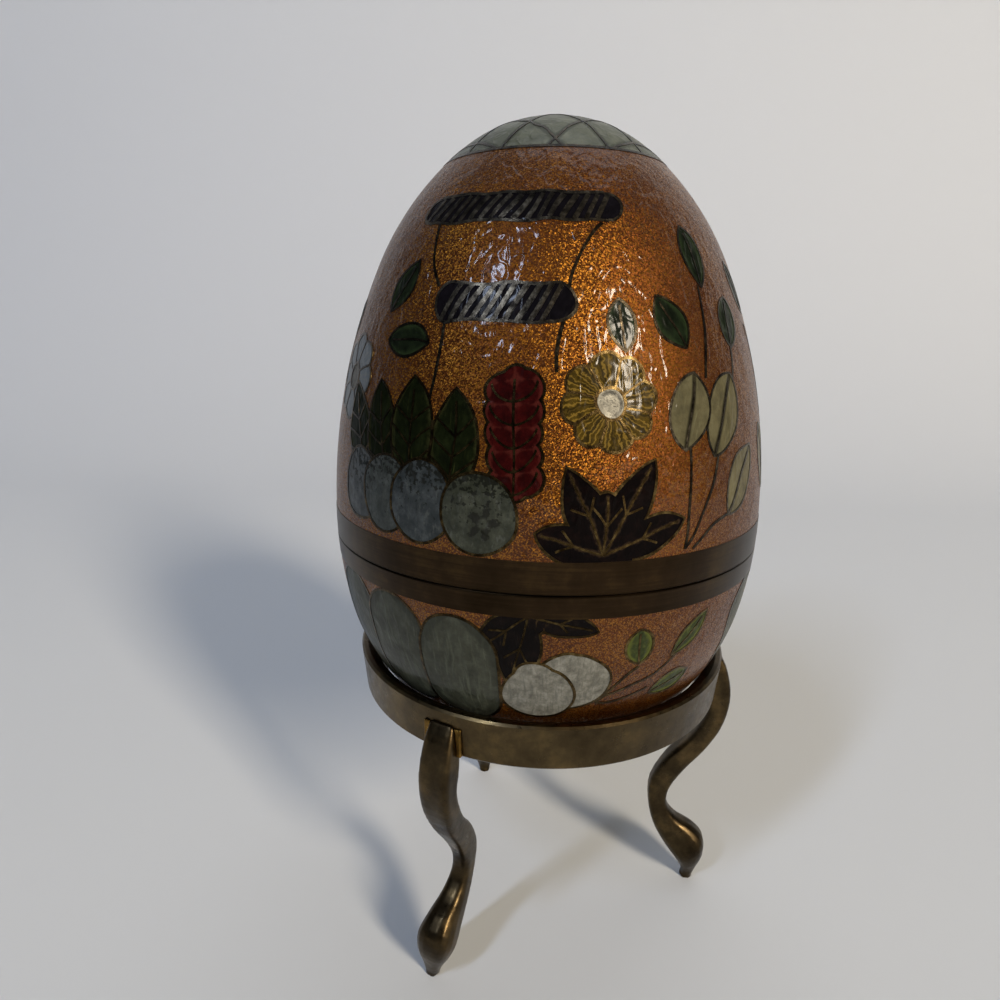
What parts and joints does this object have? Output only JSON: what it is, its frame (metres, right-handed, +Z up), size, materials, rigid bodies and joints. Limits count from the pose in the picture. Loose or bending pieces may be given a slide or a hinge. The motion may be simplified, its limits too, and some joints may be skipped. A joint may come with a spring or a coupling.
{
  "type": "decorative egg on stand",
  "caption": "Enamelled brass egg box with a lift-off lid on an inner collar, resting loose in a ring stand on cabriole legs.",
  "frame": {"origin": "on the egg's axis, at the level the feet stand on", "axes": "+Z up along the egg's axis, -Y the front with the vase of fruit, +X right seen from the front"},
  "size_m": [0.075, 0.075, 0.1442],
  "materials": {
    "old_brass": "cast, brown with age, bright where it is rubbed",
    "braze": "brazing metal, rough and golden",
    "shell_brass": "spun, tarnished, fine turning marks",
    "wall_brass": "filed flush, tarnished",
    "amber_glitter_enamel": "fired, clear over copper flecks, glossy",
    "pale_petal_enamel": "fired, opaque grey green, glossy",
    "dark_leaf_enamel": "fired, nearly black, glossy",
    "white_enamel": "fired, opaque white, glossy",
    "leaf_green_enamel": "fired, dull green, glossy",
    "sage_cap_enamel": "fired, opaque grey green, glossy",
    "rope_black_enamel": "fired, black, glossy",
    "tuft_green_enamel": "fired, dark green, glossy",
    "spray_green_enamel": "fired, mottled green, glossy",
    "sage_leaf_enamel": "fired, opaque sage, glossy",
    "olive_yellow_enamel": "fired, olive yellow, glossy",
    "heart_silver": "fired, silvery white, glossy",
    "dark_red_enamel": "fired, dark red, glossy",
    "aubergine_enamel": "fired, aubergine, glossy",
    "white_fruit_enamel": "fired, speckled white, glossy",
    "grey_fruit_enamel": "fired, speckled grey, glossy",
    "blue_fruit_enamel": "fired, speckled blue grey, glossy",
    "green_fruit_enamel": "fired, speckled grey green, glossy"
  },
  "bodies": {
    "stand": {"stand_ring": "old_brass", "leg_front_left": "old_brass", "leg_right": "old_brass", "leg_back": "old_brass", "leg_brazing": "braze"},
    "egg_base": {"base_shell": "shell_brass", "base_collar": "shell_brass", "base_cell_walls": "wall_brass", "base_ground_enamel": "amber_glitter_enamel", "base_pale_petal_enamel": "pale_petal_enamel", "base_dark_leaf_enamel": "dark_leaf_enamel", "base_white_flower_enamel": "white_enamel", "base_green_leaf_enamel": "leaf_green_enamel"},
    "egg_lid": {"lid_shell": "shell_brass", "lid_cell_walls": "wall_brass", "lid_leaf_walls": "wall_brass", "lid_rope_walls": "wall_brass", "lid_cap_lattice": "wall_brass", "lid_ground_enamel": "amber_glitter_enamel", "lid_cap_enamel": "sage_cap_enamel", "lid_rope_enamel": "rope_black_enamel", "lid_tuft_leaf_enamel": "tuft_green_enamel", "lid_spray_leaf_enamel": "spray_green_enamel", "lid_sage_leaf_enamel": "sage_leaf_enamel", "lid_yellow_flower_enamel": "olive_yellow_enamel", "lid_flower_heart": "heart_silver", "lid_red_plume_enamel": "dark_red_enamel", "lid_maple_leaf_enamel": "aubergine_enamel", "lid_white_fruit_enamel": "white_fruit_enamel", "lid_grey_fruit_enamel": "grey_fruit_enamel", "lid_blue_fruit_enamel": "blue_fruit_enamel", "lid_green_fruit_enamel": "green_fruit_enamel"}
  },
  "joints": [
    {"name": "egg_lift", "type": "slide", "parent": "stand", "child": "egg_base", "axis": [0, 0, 1], "range_m": [0, 0.025]},
    {"name": "lid_lift", "type": "slide", "parent": "egg_base", "child": "egg_lid", "axis": [0, 0, 1], "range_m": [0, 0.05]}
  ]
}
